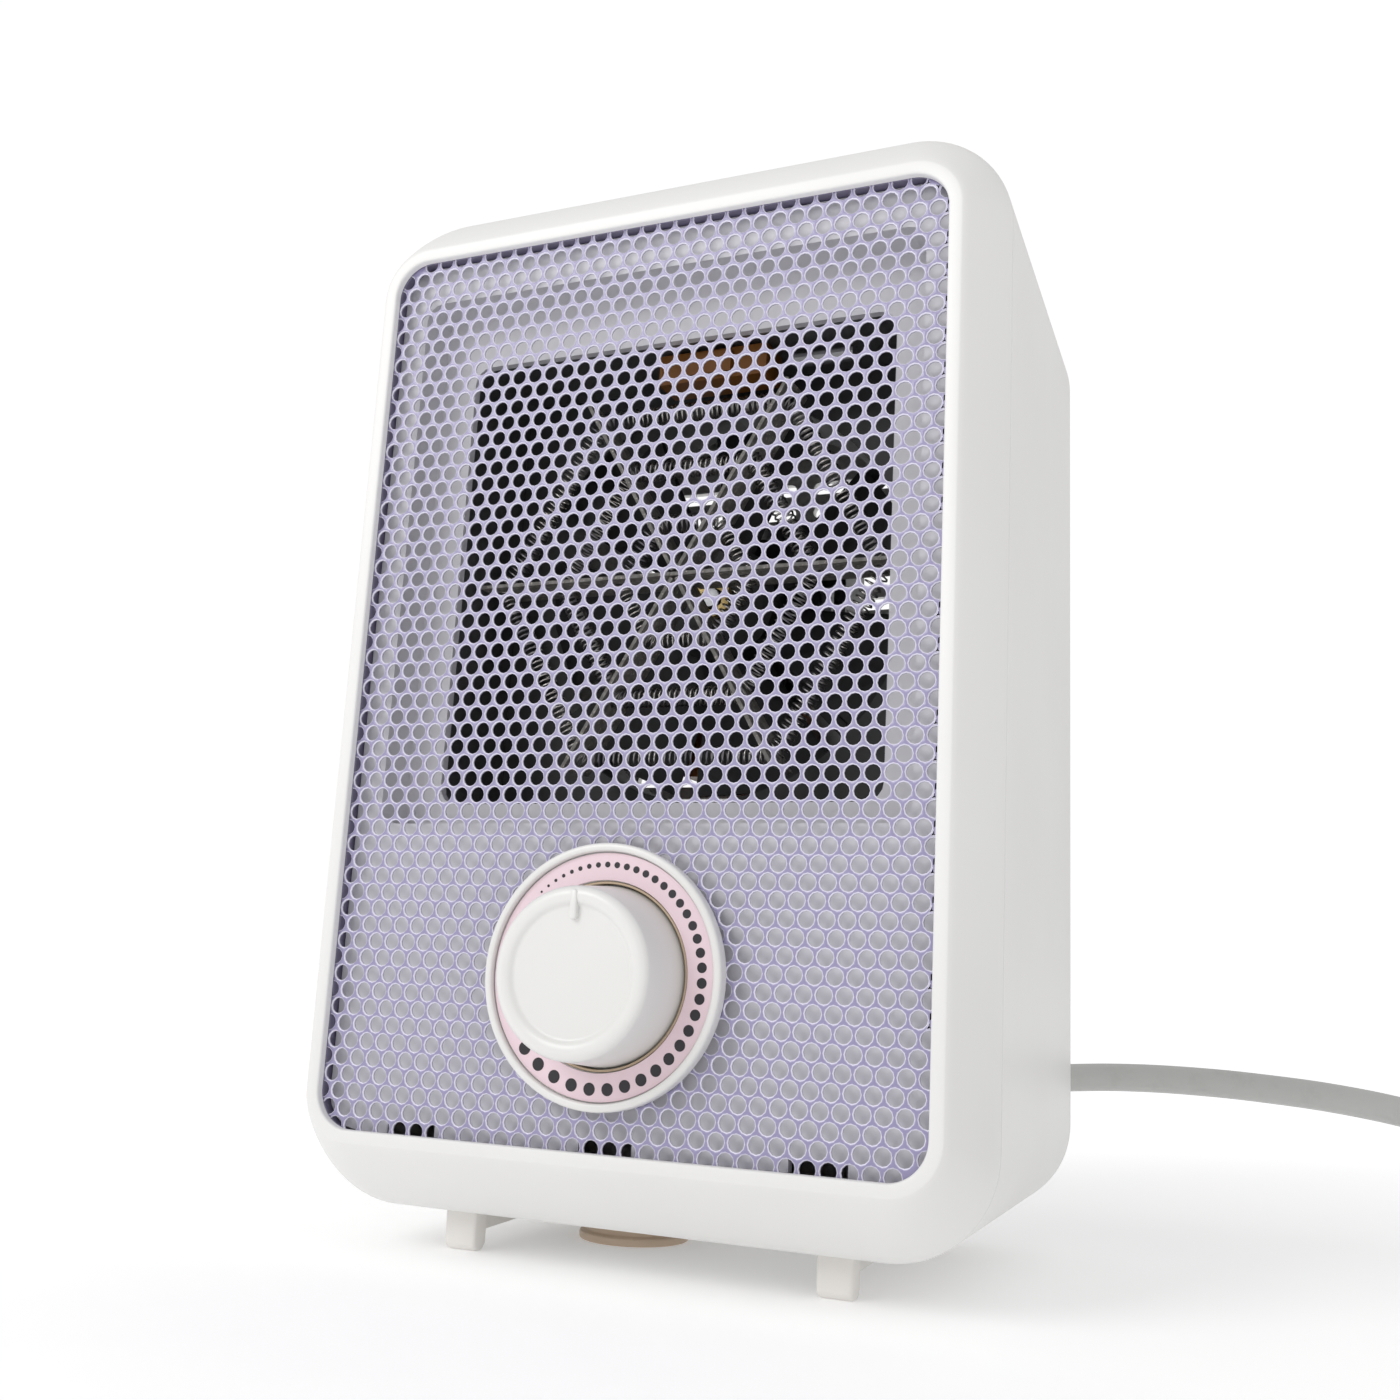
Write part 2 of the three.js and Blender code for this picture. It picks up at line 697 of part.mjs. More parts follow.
function plugPin(side) {
  const x = plug.x + side * 6.35;
  return box(x - 0.75, x + 0.75, plug.front - 17.3, plug.front - gap, plug.z - 3.1, plug.z + 3.1);
}

const lead = (...points) => bar(points, 1.1, 8, 14);

// ---- assembly ----

add(face, "front_frame", frontFrame(), shellWhite);
add(face, "rear_casing", rearCasing(), shellWhite);
add(face, "mesh_panel", meshPanel(), lilacCoat);
add(face, "duct_panel", ductPanel(), panelGrey);
add(face, "heater_duct", heaterDuct(), zincSteel);
["mica_board_level", "mica_board_rising", "mica_board_falling"].forEach((name, k) =>
  add(face, name, micaBoard(60 * k, k), micaGrey),
);
["element_inner", "element_middle", "element_outer"].forEach((name, k) =>
  add(face, name, elementRing(ringApothems[k], wireRadius), resistance),
);
add(face, "thermal_cutout", thermalCutout(), phenolic);
add(face, "thermal_fuse", thermalFuse(), copper);
add(face, "fan_shroud", fanShroud(), fanBlack);
add(face, "fan_impeller", fanImpeller(), fanBlack);
add(face, "fan_nut", fanNut(), brass);
add(face, "motor_shaft", motorShaft(), zincSteel);
add(face, "motor_rotor", motorRotor(), zincSteel);
add(face, "motor_stator", motorStator(), zincSteel);
add(face, "motor_winding", motorWinding(), copper);
add(face, "motor_front_bracket", motorBracket(60.3, 62.1, 60.3, 64.5), zincSteel);
add(face, "motor_rear_bracket", motorBracket(86.8, 88.6, 84.5, 90.5), zincSteel);
add(face, "dial_ring", dialRing(), knobWhite);
add(face, "dial_disc", dialDisc(), dialPink);
add(face, "dial_knob", dialKnob(), knobWhite);
add(face, "thermostat_shaft", thermostatShaft(), zincSteel);
add(face, "thermostat_nut", thermostatNut(), brass);
add(face, "thermostat_body", thermostatBody(), phenolic);
screwSpots.forEach(([x, z], k) => {
  const profile = [[0, 12], [1.35, 12], [1.35, 29], [3, 29], [3, 31], [0, 31]];
  add(face, "casing_screw_" + (k + 1), turned(profile, x, z, 12), zincSteel);
});

add(heater, "foot_left", foot(-1), footCream);
add(heater, "foot_right", foot(1), footCream);
add(heater, "tip_plunger", tipPlunger(), padBeige);
add(heater, "tip_guide", tipGuide(), panelGrey);
add(heater, "tip_spring", tipSpring(), zincSteel);
add(heater, "tip_switch", tipSwitch(), fanBlack);
add(heater, "tip_switch_button", switchButton(), padBeige);
add(heater, "terminal_block", terminalBlock(), panelGrey);
add(heater, "cord_clamp", cordClamp(), panelGrey);
add(heater, "strain_relief", strainRelief(), cordGrey);
add(heater, "cord_lead", cordLead(), cordGrey);
add(heater, "cord", cordTube(route, 48), cordGrey);
add(heater, "cord_coil", coilRing(0), cordGrey);
add(heater, "cord_tail", cordTube(tail, 10), cordGrey);
add(heater, "cord_tie", cordTie(), fanBlack);
add(heater, "plug_body", plugBody(), cordGrey);
add(heater, "plug_pin_left", plugPin(-1), brass);
add(heater, "plug_pin_right", plugPin(1), brass);
add(heater, "wire_live", lead(v(28, 31, 24.6), v(27, 27, 40), v(16, 0, 54), v(9, -17, 58)), wireRed);
add(heater, "wire_neutral", lead(v(40, 31, 24.6), v(30, 33, 44), v(6, 25, 52), v(-16, 12, 41.6)), wireWhite);
add(heater, "wire_element", lead(v(-8, -17.4, 62), v(-14, -6, 70), v(-20, -14, 82), v(-20, -18, 92)), wireRed);

export default heater;
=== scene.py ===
import math

import bmesh
import bpy
from mathutils import Matrix, Vector


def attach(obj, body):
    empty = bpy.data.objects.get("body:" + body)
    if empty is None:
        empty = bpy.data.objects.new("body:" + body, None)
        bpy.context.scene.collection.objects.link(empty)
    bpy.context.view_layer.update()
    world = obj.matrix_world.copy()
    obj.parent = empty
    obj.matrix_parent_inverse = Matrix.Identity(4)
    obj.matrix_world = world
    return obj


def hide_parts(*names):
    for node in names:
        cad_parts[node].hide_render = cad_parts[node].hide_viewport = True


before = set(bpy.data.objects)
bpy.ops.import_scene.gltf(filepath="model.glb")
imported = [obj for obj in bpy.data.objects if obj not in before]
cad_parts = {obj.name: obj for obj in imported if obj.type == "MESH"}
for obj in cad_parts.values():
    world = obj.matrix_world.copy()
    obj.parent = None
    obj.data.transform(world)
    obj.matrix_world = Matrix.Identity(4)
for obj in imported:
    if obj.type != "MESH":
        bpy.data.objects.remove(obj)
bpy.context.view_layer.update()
scene = bpy.context.scene

# Sizes are in millimetres. The front, duct, heater, fan and dial sit in a face frame that leans back:
# x to the right, y into the casing, z up the perforated sheet. Everything else stands in the part's frame.
lean = math.radians(1.6)
faceMatrix = Matrix.Translation((0, -42.27, 119.4)) @ Matrix.Rotation(-lean, 4, "X")
metres = Matrix.Scale(0.001, 4)
footHeight = 9

print("camera and cord")

view = {"place": (0.1405, -0.3146, 0.061), "turn": (100.01, -2.37, 24.05), "lens": 39.14}
camera = bpy.data.objects.new("camera", bpy.data.cameras.new("camera"))
camera.data.lens = view["lens"]
camera.data.clip_start = 0.01
camera.location = view["place"]
camera.rotation_euler = [math.radians(a) for a in view["turn"]]
scene.collection.objects.link(camera)
scene.camera = camera
scene.view_settings.view_transform = "Standard"

lead = {
    "width": 7.2,
    "gland": (46, 82.1, 35),
    "route": [
        (46, 79, 35), (46, 82.5, 35), (47, 89.6, 35.1), (50.2, 97, 35.4), (56, 104, 36),
        (64, 109.2, 36.6), (76, 112.4, 37.2), (94, 112.9, 37.3), (111, 112.8, 36.6), (128, 112.6, 35.2),
        (144, 112.4, 32.8), (160, 112.2, 29.4), (175, 112.1, 25.6), (189, 111.9, 19.6), (202, 111.8, 14.6),
    ],
    "coil": {"x": 215, "y": 65, "radii": (46.8, 39.6, 32.4), "upper": 11.9, "lower": 4.8},
    "tail": [(261.8, 55, 4.9), (261.8, 44, 6.6), (261.8, 36, 8), (261.8, 29, 8)],
}


# The coil winds inwards on its upper layer, drops, and winds outwards again underneath.
# Each turn slips over to the next radius during its last half.
def coilPoints(coil, perTurn=16):
    far, middle, near = coil["radii"]
    legs = [(1, far, middle), (2, middle, near), (3.25, near, middle), (4.25, middle, far), (5.25, far, far)]
    points = []
    for k in range(int(5.25 * perTurn) + 1):
        turn = k / perTurn
        end, here, nextOne = next(leg for leg in legs if turn <= leg[0])
        slide = min(max((turn - (end - 0.5)) / 0.5, 0), 1)
        radius = here + (nextOne - here) * slide * slide * (3 - 2 * slide)
        drop = min(max((turn - 2.0) / 0.4, 0), 1)
        height = coil["upper"] + (coil["lower"] - coil["upper"]) * drop * drop * (3 - 2 * drop)
        angle = math.radians(90 - 360 * turn)
        points.append((coil["x"] + radius * math.cos(angle), coil["y"] + radius * math.sin(angle), height))
    return points


def cordCurve():
    points = lead["route"] + coilPoints(lead["coil"]) + lead["tail"]
    curve = bpy.data.curves.new("powerCord", "CURVE")
    curve.dimensions = "3D"
    curve.resolution_u = 5
    curve.bevel_depth = lead["width"] / 2000
    curve.bevel_resolution = 5
    curve.use_fill_caps = True
    spline = curve.splines.new("BEZIER")
    spline.bezier_points.add(len(points) - 1)
    for knot, point in zip(spline.bezier_points, points):
        knot.co = Vector(point) / 1000
        knot.handle_left_type = knot.handle_right_type = "AUTO"
    cord = bpy.data.objects.new("powerCord", curve)
    scene.collection.objects.link(cord)
    length = sum(s.calc_length() for s in curve.splines)
    print("cord length", round(length, 4))
    return cord, length


powerCord, cordLength = cordCurve()

print("finishes")


class Value:
    def __init__(self, tree, socket):
        self.tree = tree
        self.socket = socket

    def math(self, operation, first, second=None):
        node = self.tree.nodes.new("ShaderNodeMath")
        node.operation = operation
        for socket, item in zip(node.inputs, (first, second)):
            if isinstance(item, Value):
                self.tree.links.new(item.socket, socket)
            elif item is not None:
                socket.default_value = item
        return Value(self.tree, node.outputs[0])

    def __add__(self, other):
        return self.math("ADD", self, other)

    def __mul__(self, other):
        return self.math("MULTIPLY", self, other)

    def __abs__(self):
        return self.math("ABSOLUTE", self)

    __radd__ = __add__
    __rmul__ = __mul__


class Finish:
    def __init__(self, name, **sockets):
        self.material = bpy.data.materials.new(name)
        self.material.use_nodes = True
        self.tree = self.material.node_tree
        self.shader = self.tree.nodes["Principled BSDF"]
        self.place = self.node("ShaderNodeTexCoord", output="Object")
        self.set(**sockets)

    # Socket names are written without their spaces: BaseColor, CoatWeight.
    def set(self, **sockets):
        named = {s.name.replace(" ", ""): s for s in self.shader.inputs}
        for name, value in sockets.items():
            if isinstance(value, Value):
                self.tree.links.new(value.socket, named[name])
            elif named[name].type == "RGBA":
                named[name].default_value = (*value, 1)
            else:
                named[name].default_value = value

    def node(self, kind, settings=None, inputs=None, output=0):
        node = self.tree.nodes.new(kind)
        for name, value in (settings or {}).items():
            if name == "stops":
                self.stops(node.color_ramp, value)
            else:
                setattr(node, name, value)
        for key, value in (inputs or {}).items():
            socket = node.inputs[key]
            if isinstance(value, Value):
                self.tree.links.new(value.socket, socket)
            elif socket.type == "RGBA":
                socket.default_value = (*value, 1)
            else:
                socket.default_value = value
        return Value(self.tree, node.outputs[output])

    def stops(self, ramp, stops):
        while len(ramp.elements) < len(stops):
            ramp.elements.new(1)
        for element, (place, shade) in zip(ramp.elements, stops):
            element.position = place
            element.color = (shade, shade, shade, 1)

    def ramp(self, value, *stops):
        return self.node("ShaderNodeValToRGB", {"stops": stops}, {0: value})

    def noise(self, scale, detail=3, rough=0.5, at=None):
        return self.node("ShaderNodeTexNoise", None, {
            "Vector": at or self.place, "Scale": scale, "Detail": detail, "Roughness": rough})

    def stretched(self, x, y, z):
        return self.node("ShaderNodeVectorMath", {"operation": "MULTIPLY"}, {0: self.place, 1: (x, y, z)})

    def mixed(self, share, first, second):
        return self.node("ShaderNodeMix", {"data_type": "RGBA"}, {0: share, 6: first, 7: second}, output=2)

    def bump(self, height, depth, strength=1.0):
        return self.node("ShaderNodeBump", None, {"Height": height, "Distance": depth, "Strength": strength},
                         output="Normal")


# Moulded plastic: slow drifts of tone, a fine spark-eroded grain and slightly uneven gloss.
def moulded(name, colour, shade, gloss, grain=0.00002, grainScale=2600, **more):
    finish = Finish(name, **more)
    drift = finish.noise(14, 4)
    fine = finish.noise(grainScale, 2, 0.6)
    finish.set(BaseColor=finish.mixed(finish.ramp(drift, (0.35, 0), (0.7, 1)), colour, shade))
    finish.set(Roughness=gloss + 0.06 * finish.noise(60, 3) + 0.05 * fine)
    finish.set(Normal=finish.bump(fine, grain, 0.5))
    return finish.material


# Powder coat over the perforated sheet: a soft orange-peel skin, with a painted highlight on the punched lips
# and painted shade on the walls inside the holes. How squarely a spot faces along the sheet's axis tells
# which of them it is.
def powderCoat(name, colour, deep, lip, wall):
    finish = Finish(name, CoatRoughness=0.12, SpecularIORLevel=0.6)
    peel = finish.noise(900, 3, 0.55)
    tone = finish.noise(25, 4)
    normal = finish.node("ShaderNodeTexCoord", output="Normal")
    axis = (0, math.cos(lean), -math.sin(lean))
    along = finish.node("ShaderNodeVectorMath", {"operation": "DOT_PRODUCT"}, {0: normal, 1: axis},
                        output="Value")
    facing = abs(along)
    flat = finish.mixed(finish.ramp(tone, (0.3, 0), (0.75, 1)), colour, deep)
    # The lip colour is a painted highlight and the wall colour is painted shade, picked by how squarely each
    # spot faces.
    front = finish.mixed(finish.ramp(facing, (0.86, 1), (0.985, 0)), flat, lip)
    finish.set(BaseColor=finish.mixed(finish.ramp(facing, (0.05, 0), (0.4, 1)), wall, front))
    finish.set(CoatWeight=0.25 + 0.2 * peel)
    finish.set(Roughness=0.26 + 0.14 * peel)
    finish.set(Normal=finish.bump(peel, 0.00004, 0.6))
    return finish.material


# Zinc-coated sheet or drawn wire, with rolling marks along one direction.
def bareSteel(name, colour, dull, rough=0.3, along=(1, 1, 12)):
    finish = Finish(name, Metallic=1.0)
    marks = finish.noise(420, 4, 0.6, finish.stretched(*along))
    stain = finish.noise(35, 5, 0.6)
    finish.set(BaseColor=finish.mixed(finish.ramp(stain, (0.4, 0), (0.8, 1)), colour, dull))
    finish.set(Roughness=rough + 0.2 * marks)
    finish.set(Normal=finish.bump(marks, 0.00002, 0.4))
    return finish.material


# Built-up mica: layered dark flakes with a few bright ones.
def micaSheet(name):
    finish = Finish(name, SpecularIORLevel=0.7)
    flakes = finish.node("ShaderNodeTexVoronoi", None, {"Vector": finish.place, "Scale": 700},
                         output="Distance")
    specks = finish.ramp(finish.noise(1500, 3), (0.6, 0), (0.68, 1))
    base = finish.mixed(finish.ramp(flakes, (0.1, 0), (0.7, 1)), (0.27, 0.26, 0.24), (0.17, 0.16, 0.145))
    finish.set(BaseColor=finish.mixed(specks, base, (0.5, 0.46, 0.4)))
    finish.set(Roughness=0.35 + 0.3 * flakes)
    finish.set(Normal=finish.bump(flakes, 0.00005, 0.5))
    return finish.material


# Enamelled winding wire seen as fine parallel turns, with painted shade in the grooves between them.
def windingWire(name):
    finish = Finish(name, CoatRoughness=0.2)
    turns = finish.node("ShaderNodeTexWave", {"bands_direction": "X"}, {
        "Vector": finish.place, "Scale": 900, "Distortion": 0.3})
    grooveShade = finish.ramp(turns, (0.0, 0), (0.5, 1))
    # The darker colour is painted shade in the grooves between the turns; the lighter one is the copper.
    finish.set(BaseColor=finish.mixed(grooveShade, (0.16, 0.05, 0.02), (0.52, 0.2, 0.08)))
    finish.set(Metallic=0.75)
    finish.set(CoatWeight=0.4)
    finish.set(Roughness=0.25 + 0.2 * finish.noise(200, 2))
    finish.set(Normal=finish.bump(turns, 0.0001, 0.7))
    return finish.material


# Extruded vinyl or silicone insulation, with faint scuffs.
def insulation(name, colour, scuffed, gloss=0.42):
    finish = Finish(name)
    scuffs = finish.ramp(finish.noise(130, 6, 0.7), (0.52, 0), (0.72, 1))
    skin = finish.noise(1800, 2)
    finish.set(BaseColor=finish.mixed(scuffs, colour, scuffed))
    finish.set(Roughness=gloss + 0.12 * scuffs)
    finish.set(Normal=finish.bump(skin, 0.00002, 0.5))
    return finish.material


# Heat-dulled resistance wire, blued in places.
def elementWire(name):
    finish = Finish(name, Metallic=1.0)
    blued = finish.ramp(finish.noise(90, 4), (0.42, 0), (0.62, 1))
    finish.set(BaseColor=finish.mixed(blued, (0.6, 0.58, 0.55), (0.27, 0.26, 0.28)))
    finish.set(Roughness=0.24 + 0.16 * blued)
    finish.set(Normal=finish.bump(finish.noise(5000, 2), 0.00001, 0.4))
    return finish.material


finishes = {
    "casing": moulded("casingPlastic", (0.79, 0.787, 0.775), (0.765, 0.76, 0.745), 0.36),
    "panel": moulded("panelPlastic", (0.74, 0.735, 0.755), (0.71, 0.705, 0.725), 0.36),
    # The last two colours are a painted highlight for the hole lips and painted shade for the hole walls.
    "mesh": powderCoat("lilacCoat", (0.29, 0.262, 0.43), (0.265, 0.24, 0.405), (0.82, 0.80, 0.92),
                       (0.22, 0.2, 0.30)),
    "dialWhite": moulded("dialPlastic", (0.76, 0.755, 0.74), (0.735, 0.73, 0.71), 0.24, grain=0.000008),
    "pink": moulded("dialFoil", (0.80, 0.63, 0.68), (0.77, 0.60, 0.655), 0.4, grain=0.000006),
    "ink": moulded("dialInk", (0.012, 0.01, 0.014), (0.02, 0.016, 0.02), 0.35, grain=0.000004),
    # Tan for the sleeve in the gap round the knob: painted shade standing in for the shadowed gap.
    "tan": moulded("dialGapShade", (0.55, 0.43, 0.30), (0.47, 0.36, 0.25), 0.45),
    "foot": moulded("footPlastic", (0.84, 0.815, 0.785), (0.805, 0.78, 0.745), 0.4),
    "pad": moulded("padPlastic", (0.69, 0.54, 0.41), (0.63, 0.49, 0.36), 0.42),
    "fan": moulded("fanPlastic", (0.018, 0.018, 0.02), (0.028, 0.027, 0.028), 0.42),
    "phenolic": moulded("phenolicBrown", (0.2, 0.075, 0.008), (0.11, 0.038, 0.006), 0.45, grain=0.00003,
                        SpecularIORLevel=0.25),
    "steel": bareSteel("zincSteel", (0.62, 0.63, 0.65), (0.42, 0.42, 0.43)),
    "duct": bareSteel("ductSteel", (0.34, 0.34, 0.35), (0.2, 0.2, 0.2), rough=0.4),
    "laminations": bareSteel("statorSteel", (0.4, 0.4, 0.41), (0.25, 0.24, 0.23), along=(1, 60, 1)),
    "brass": bareSteel("plainBrass", (0.72, 0.55, 0.25), (0.55, 0.4, 0.17)),
    "mica": micaSheet("micaSheet"),
    "winding": windingWire("windingCopper"),
    "element": elementWire("elementWire"),
    "lead": insulation("leadVinyl", (0.51, 0.512, 0.497), (0.465, 0.465, 0.45)),
    "tie": insulation("tieStrap", (0.035, 0.035, 0.038), (0.06, 0.06, 0.06), 0.5),
    "red": insulation("redSilicone", (0.45, 0.05, 0.03), (0.36, 0.04, 0.03)),
    "white": insulation("whiteSilicone", (0.78, 0.77, 0.73), (0.68, 0.66, 0.62)),
}

print("mesh tools")


# A named piece from points in millimetres, smooth except at edges sharper than the crease.
def piece(name, points, faces, finish, slot, body="root", inFace=True, crease=38, stands=()):
    mesh = bpy.data.meshes.new(name)
    mesh.from_pydata([tuple(p) for p in points], [], faces)
    mesh.transform(metres @ faceMatrix if inFace else metres)
    tidy = bmesh.new()
    tidy.from_mesh(mesh)
    bmesh.ops.remove_doubles(tidy, verts=tidy.verts, dist=1e-7)
    bmesh.ops.recalc_face_normals(tidy, faces=tidy.faces)
    tidy.to_mesh(mesh)
    tidy.free()
    made = bpy.data.objects.new(name, mesh)
    scene.collection.objects.link(made)
    return settle(made, finish, body, crease, stands)


def settle(made, finish, body="root", crease=38, stands=()):
    if made.type == "MESH":
        made.data.shade_smooth()
        made.data.set_sharp_from_angle(angle=math.radians(crease))
    made.data.materials.clear()
    made.data.materials.append(finishes[finish])
    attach(made, body)
    if stands:
        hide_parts(*stands)
    return made


# Corners of a flat outline softened: each entry is (a, b) or (a, b, radius).
def softened(outline, closed=True, steps=4):
    points = [Vector(p[:2]) for p in outline]
    radii = [p[2] if len(p) > 2 else 0 for p in outline]
    result = []
    for i, (point, radius) in enumerate(zip(points, radii)):
        if not radius or (not closed and i in (0, len(points) - 1)):
            result.append(point)
            continue
        before, after = points[i - 1] - point, points[(i + 1) % len(points)] - point
        reach = min(radius, before.length / 2.01, after.length / 2.01)
        start, end = point + before.normalized() * reach, point + after.normalized() * reach
        for k in range(steps + 1):
            t = k / steps
            result.append(start * (1 - t) ** 2 + point * 2 * t * (1 - t) + end * t * t)
    return result


# A turned piece about a line along y through (x, z); the profile is (radius, y) pairs.
def turned(profile, x, z, segments=96, closed=False):
    points, rings = [], []
    for radius, y in profile:
        if radius < 1e-6:
            rings.append([len(points)] * segments)
            points.append((x, y, z))
            continue
        rings.append(list(range(len(points), len(points) + segments)))
        for k in range(segments):
            angle = 2 * math.pi * k / segments
            points.append((x + radius * math.sin(angle), y, z + radius * math.cos(angle)))
    pairs = list(zip(rings, rings[1:] + rings[:1])) if closed else list(zip(rings, rings[1:]))
    return points, stitched(pairs)


def stitched(pairs):
    faces = []
    for here, there in pairs:
        count = len(here)
        for k in range(count):
            n = (k + 1) % count
            corners = [here[k], here[n], there[n], there[k]]
            face = [c for i, c in enumerate(corners) if c not in corners[:i]]
            if len(face) > 2:
                faces.append(face)
    return faces


# The same about an upright line through (x, y); the profile is (radius, z) pairs.
def upright(profile, x, y, segments=64):
    points, faces = turned(profile, 0, 0, segments, closed=profile[0][0] > 0)
    return [(x + p[0], y + p[2], p[1]) for p in points], faces


# Skin through outlines of equal count: closed on itself or capped at both ends.
def lofted(outlines, loops=False):
    count = len(outlines[0])
    points = [p for outline in outlines for p in outline]
    rings = [list(range(k * count, (k + 1) * count)) for k in range(len(outlines))]
    pairs = list(zip(rings, rings[1:] + rings[:1])) if loops else list(zip(rings, rings[1:]))
    faces = stitched(pairs)
    if not loops:
        faces += [rings[0], rings[-1][::-1]]
    return points, faces


# Rounded rectangle at depth y, drawn in by an inset.
def roundedOutline(half, top, bottom, radius, y, inset=0, steps=18):
    half, top, bottom, radius = half - inset, top - inset, bottom + inset, max(radius - inset, 0.1)
    centres = [(half - radius, top - radius), (-half + radius, top - radius),
               (-half + radius, bottom + radius), (half - radius, bottom + radius)]
    points = []
    for quarter, (x, z) in enumerate(centres):
        for k in range(steps + 1):
            angle = (quarter + k / steps) * math.pi / 2
            points.append(Vector((x + radius * math.cos(angle), y, z + radius * math.sin(angle))))
    return points


def merged(*shapes):
    points, faces = [], []
    for shapePoints, shapeFaces in shapes:
        faces += [[i + len(points) for i in face] for face in shapeFaces]
        points += list(shapePoints)
    return points, faces


# Joins or cuts a piece with closed shapes given in the same frame as the piece's points.
def combined(made, shape, operation, inFace=True):
    tool = bpy.data.meshes.new("tool")
    tool.from_pydata([tuple(p) for p in shape[0]], [], shape[1])
    tool.transform(metres @ faceMatrix if inFace else metres)
    tidy = bmesh.new()
    tidy.from_mesh(tool)
    bmesh.ops.recalc_face_normals(tidy, faces=tidy.faces)
    tidy.to_mesh(tool)
    tidy.free()
    cutter = bpy.data.objects.new("tool", tool)
    scene.collection.objects.link(cutter)
    step = made.modifiers.new("step", "BOOLEAN")
    step.operation = operation
    step.solver = "EXACT"
    step.object = cutter
    baked(made)
    bpy.data.objects.remove(cutter)


# Makes a piece's modifiers part of its mesh.
def baked(made):
    shown = made.evaluated_get(bpy.context.evaluated_depsgraph_get())
    mesh = bpy.data.meshes.new_from_object(shown)
    made.modifiers.clear()
    made.data = mesh


def rounded(made, width, segments=3, angle=30):
    edge = made.modifiers.new("edge", "BEVEL")
    edge.width = width / 1000
    edge.segments = segments
    edge.limit_method = "ANGLE"
    edge.angle_limit = math.radians(angle)
    baked(made)


def rod(radius, y0, y1, x, z, segments=32):
    return turned([(0, y0), (radius, y0), (radius, y1), (0, y1)], x, z, segments)


print("casing")

casing = {
    "rim": {"half": 68.8, "top": 103.7, "bottom": -97.3, "radius": 11},
    "mouth": {"half": 65.8, "top": 100.7, "bottom": -94.3, "radius": 8},
    "seam": {"half": 75, "top": 116.5, "bottom": -110, "radius": 21},
    "pocket": {"half": 68.2, "top": 103, "bottom": -96.6, "radius": 9.4},
    "rear": {"half": 71, "top": 112.3, "radius": 20},
    "rimY": -2, "seamY": 14, "rearY": 102, "rearEdge": 3, "wall": 2.2,
    "screws": ((-57, 95.6), (57, 95.6), (-58, -84), (58, -84)),
    "slot": {"half": 22, "height": 3.4, "radius": 1.69, "pitch": 6.6, "rows": 15, "middle": 27.25,
             "side": 24.5},
    "screwTube": {"outer": 4.8, "well": 3.3, "bore": 1.8, "from": 26, "wellFrom": 28.7},
    "cordHole": {"radius": 5.2, "x": 46, "z": 35},
    "baseHoles": ((5.2, -19, 12), (2.8, -42, -23), (2.8, -42, 42), (2.8, 42, -23), (2.8, 42, 42)),
}


# Outline on the swelling side between rim and seam; share 0 is the rim, 1 the seam.
def bulged(share, y, inset=0):
    a, b = casing["rim"], casing["seam"]
    sizes = {key: a[key] + (b[key] - a[key]) * share for key in a}
    return roundedOutline(**sizes, y=y, inset=inset)


def frontFrame():
    rim, seam = casing["rimY"], casing["seamY"]
    mouth, pocket = casing["mouth"], casing["pocket"]
    outlines = [roundedOutline(**mouth, y=-0.3)]
    for inset, y in ((0, rim + 0.5), (-0.06, rim + 0.28), (-0.2, rim + 0.1), (-0.45, rim)):
        outlines.append(roundedOutline(**mouth, y=y, inset=inset))
    for inset, y in ((0.55, rim), (0.28, rim + 0.04), (0.1, rim + 0.14)):
        outlines.append(bulged(0, y, inset))
    for k in range(1, 17):
        depth = k / 16
        outlines.append(bulged(0.999 - 0.999 * (1 - depth) ** 1.6, rim + (seam - rim - 0.3) * depth))
    outlines.append(bulged(1, seam, 0.25))
    outlines.append(bulged(1, seam, casing["wall"]))
    outlines.append(bulged(0.72, 8.5, casing["wall"]))
    outlines.append(roundedOutline(**pocket, y=4.2))
    outlines.append(roundedOutline(**pocket, y=-0.3))
    points, faces = lofted(outlines, loops=True)
    return piece("frontFrame", points, faces, "casing", "casing", stands=("front_frame",))


def casingOutline(share, inset, y, upright=True):
    a, b = casing["seam"], casing["rear"]
    bottom = (footHeight - 119.4 + y * math.sin(lean)) / math.cos(lean)
    sizes = {key: a[key] + (b[key] - a[key]) * share for key in ("half", "top", "radius")}
    outline = roundedOutline(**sizes, bottom=bottom, y=y, inset=inset)
    if upright:
        for point in outline:
            point.y -= point.z * math.tan(lean)
    return outline


def between(first, second, share):
    return [a.lerp(b, share) for a, b in zip(first, second)]


